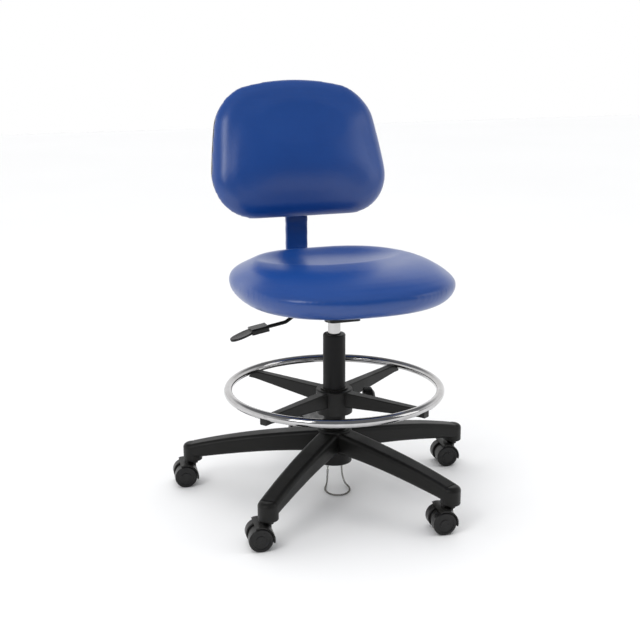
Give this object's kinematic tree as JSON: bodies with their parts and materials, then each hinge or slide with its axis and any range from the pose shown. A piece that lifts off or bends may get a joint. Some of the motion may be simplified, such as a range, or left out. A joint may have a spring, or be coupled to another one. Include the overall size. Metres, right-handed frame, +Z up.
{
  "type": "drafting chair",
  "caption": "Height-adjustable drafting chair: padded seat and backrest on a gas column with foot ring, star base, twin-wheel casters and drag chain.",
  "frame": {"origin": "on the floor, on the axis of the gas column", "axes": "+Z up, front of the seat towards -Y, the sitter's right towards -X"},
  "size_m": [0.6893, 0.6835, 0.9059],
  "materials": {
    "nylon": "black glass-filled nylon, lightly grained",
    "caster_tread": "black nylon, satin",
    "black_steel": "black powder coat",
    "chrome": "bright chrome plate",
    "steel": "zinc-plated steel",
    "rubber": "black rubber",
    "plywood": "raw birch plywood",
    "blue_vinyl": "royal blue upholstery vinyl with a fine grain",
    "dust_cloth": "black non-woven cloth"
  },
  "bodies": {
    "base": {"star_base": "nylon", "caster_sockets": "steel", "column_tube": "black_steel", "column_bush": "nylon", "chain_hooks": "steel", "drag_chain": "steel"},
    "bearing_cage": {"ball_cage": "nylon"},
    "piston": {"piston_rod": "steel", "piston_head": "steel", "upper_race": "steel", "rod_clip": "steel", "rubber_bumper": "rubber"},
    "lift": {"gas_cylinder": "chrome", "cylinder_plugs": "steel", "taper_socket": "black_steel", "mech_housing": "black_steel", "seat_plate": "black_steel", "seat_board": "plywood", "seat_fasteners": "steel", "seat_cushion": "blue_vinyl", "seat_dust_cover": "dust_cloth", "lever_pivot": "steel"},
    "release_pin": {"release_pin": "steel"},
    "lever": {"lever_rod": "black_steel", "lever_paddle": "nylon"},
    "back_bar": {"back_bar": "black_steel", "bar_sleeve": "blue_vinyl"},
    "depth_knob": {"depth_knob": "nylon"},
    "backrest": {"back_board": "plywood", "back_shell": "nylon", "back_cushion": "blue_vinyl", "back_bracket": "black_steel", "bracket_screws": "steel"},
    "back_knob": {"back_knob": "nylon"},
    "ring_sleeve": {"ring_sleeve": "nylon"},
    "foot_ring": {"ring_hub": "nylon", "foot_ring": "chrome", "ring_screws": "steel"},
    "ring_knob": {"ring_knob": "nylon", "ring_knob_screw": "steel"},
    "caster_1": {"caster_1_hood": "nylon", "caster_1_pins": "steel"},
    "caster_1_left": {"caster_1_wheel_left": "caster_tread"},
    "caster_1_right": {"caster_1_wheel_right": "caster_tread"},
    "caster_2": {"caster_2_hood": "nylon", "caster_2_pins": "steel"},
    "caster_2_left": {"caster_2_wheel_left": "caster_tread"},
    "caster_2_right": {"caster_2_wheel_right": "caster_tread"},
    "caster_3": {"caster_3_hood": "nylon", "caster_3_pins": "steel"},
    "caster_3_left": {"caster_3_wheel_left": "caster_tread"},
    "caster_3_right": {"caster_3_wheel_right": "caster_tread"},
    "caster_4": {"caster_4_hood": "nylon", "caster_4_pins": "steel"},
    "caster_4_left": {"caster_4_wheel_left": "caster_tread"},
    "caster_4_right": {"caster_4_wheel_right": "caster_tread"},
    "caster_5": {"caster_5_hood": "nylon", "caster_5_pins": "steel"},
    "caster_5_left": {"caster_5_wheel_left": "caster_tread"},
    "caster_5_right": {"caster_5_wheel_right": "caster_tread"}
  },
  "joints": [
    {"name": "seat_swivel", "type": "hinge", "parent": "base", "child": "piston", "pos_m": [0, 0, 0.08], "axis": [0, 0, 1], "continuous": true},
    {"name": "bearing_roll", "type": "hinge", "parent": "base", "child": "bearing_cage", "pos_m": [0, 0, 0.078], "axis": [0, 0, 1], "continuous": true},
    {"name": "gas_lift", "type": "slide", "parent": "piston", "child": "lift", "axis": [0, 0, 1], "range_m": [0, 0.195]},
    {"name": "lever_tip", "type": "hinge", "parent": "lift", "child": "lever", "pos_m": [-0.028, 0, 0.44], "axis": [0, 1, 0], "range_deg": [0, 6], "stiffness_Nm_per_rad": 4, "springref_deg": -4.58},
    {"name": "pin_press", "type": "slide", "parent": "lift", "child": "release_pin", "axis": [0, 0, -1], "range_m": [0, 0.003]},
    {"name": "back_depth", "type": "slide", "parent": "lift", "child": "back_bar", "axis": [0, 1, 0], "range_m": [-0.015, 0.035]},
    {"name": "depth_clamp", "type": "hinge", "parent": "lift", "child": "depth_knob", "pos_m": [0, 0.086, 0.39], "axis": [0, 0, -1], "continuous": true},
    {"name": "back_height", "type": "slide", "parent": "back_bar", "child": "backrest", "axis": [0, 0.2756, 0.9613], "range_m": [0, 0.07]},
    {"name": "back_clamp", "type": "hinge", "parent": "backrest", "child": "back_knob", "pos_m": [0, 0.2947, 0.65309], "axis": [0, 0.9613, -0.2756], "continuous": true},
    {"name": "ring_height", "type": "slide", "parent": "base", "child": "ring_sleeve", "axis": [0, 0, 1], "range_m": [-0.03, 0.1]},
    {"name": "ring_turn", "type": "hinge", "parent": "ring_sleeve", "child": "foot_ring", "pos_m": [0, 0, 0.242], "axis": [0, 0, 1], "continuous": true},
    {"name": "ring_clamp", "type": "hinge", "parent": "foot_ring", "child": "ring_knob", "pos_m": [0.06847, -0.01455, 0.213], "axis": [0.9781, -0.2079, 0], "continuous": true},
    {"name": "caster_1_swivel", "type": "hinge", "parent": "base", "child": "caster_1", "pos_m": [0.32407, 0.05673, 0.058], "axis": [0, 0, 1], "continuous": true},
    {"name": "caster_1_left_roll", "type": "hinge", "parent": "caster_1", "child": "caster_1_left", "pos_m": [0.30422, 0.05917, 0.025], "axis": [0.1219, 0.9925, 0], "continuous": true},
    {"name": "caster_1_right_roll", "type": "hinge", "parent": "caster_1", "child": "caster_1_right", "pos_m": [0.30422, 0.05917, 0.025], "axis": [0.1219, 0.9925, 0], "continuous": true},
    {"name": "caster_2_swivel", "type": "hinge", "parent": "base", "child": "caster_2", "pos_m": [0.04619, 0.32574, 0.058], "axis": [0, 0, 1], "continuous": true},
    {"name": "caster_2_left_roll", "type": "hinge", "parent": "caster_2", "child": "caster_2_left", "pos_m": [0.02634, 0.32818, 0.025], "axis": [0.1219, 0.9925, 0], "continuous": true},
    {"name": "caster_2_right_roll", "type": "hinge", "parent": "caster_2", "child": "caster_2_right", "pos_m": [0.02634, 0.32818, 0.025], "axis": [0.1219, 0.9925, 0], "continuous": true},
    {"name": "caster_3_swivel", "type": "hinge", "parent": "base", "child": "caster_3", "pos_m": [-0.29553, 0.14458, 0.058], "axis": [0, 0, 1], "continuous": true},
    {"name": "caster_3_left_roll", "type": "hinge", "parent": "caster_3", "child": "caster_3_left", "pos_m": [-0.31538, 0.14702, 0.025], "axis": [0.1219, 0.9925, 0], "continuous": true},
    {"name": "caster_3_right_roll", "type": "hinge", "parent": "caster_3", "child": "caster_3_right", "pos_m": [-0.31538, 0.14702, 0.025], "axis": [0.1219, 0.9925, 0], "continuous": true},
    {"name": "caster_4_swivel", "type": "hinge", "parent": "base", "child": "caster_4", "pos_m": [-0.22883, -0.23638, 0.058], "axis": [0, 0, 1], "continuous": true},
    {"name": "caster_4_left_roll", "type": "hinge", "parent": "caster_4", "child": "caster_4_left", "pos_m": [-0.24868, -0.23395, 0.025], "axis": [0.1219, 0.9925, 0], "continuous": true},
    {"name": "caster_4_right_roll", "type": "hinge", "parent": "caster_4", "child": "caster_4_right", "pos_m": [-0.24868, -0.23395, 0.025], "axis": [0.1219, 0.9925, 0], "continuous": true},
    {"name": "caster_5_swivel", "type": "hinge", "parent": "base", "child": "caster_5", "pos_m": [0.1541, -0.29068, 0.058], "axis": [0, 0, 1], "continuous": true},
    {"name": "caster_5_left_roll", "type": "hinge", "parent": "caster_5", "child": "caster_5_left", "pos_m": [0.13425, -0.28824, 0.025], "axis": [0.1219, 0.9925, 0], "continuous": true},
    {"name": "caster_5_right_roll", "type": "hinge", "parent": "caster_5", "child": "caster_5_right", "pos_m": [0.13425, -0.28824, 0.025], "axis": [0.1219, 0.9925, 0], "continuous": true}
  ],
  "couplings": [
    {"joint": "bearing_roll", "follows": "seat_swivel", "ratio": 0.5},
    {"joint": "pin_press", "follows": "lever_tip", "m_per_rad": 0.028}
  ]
}
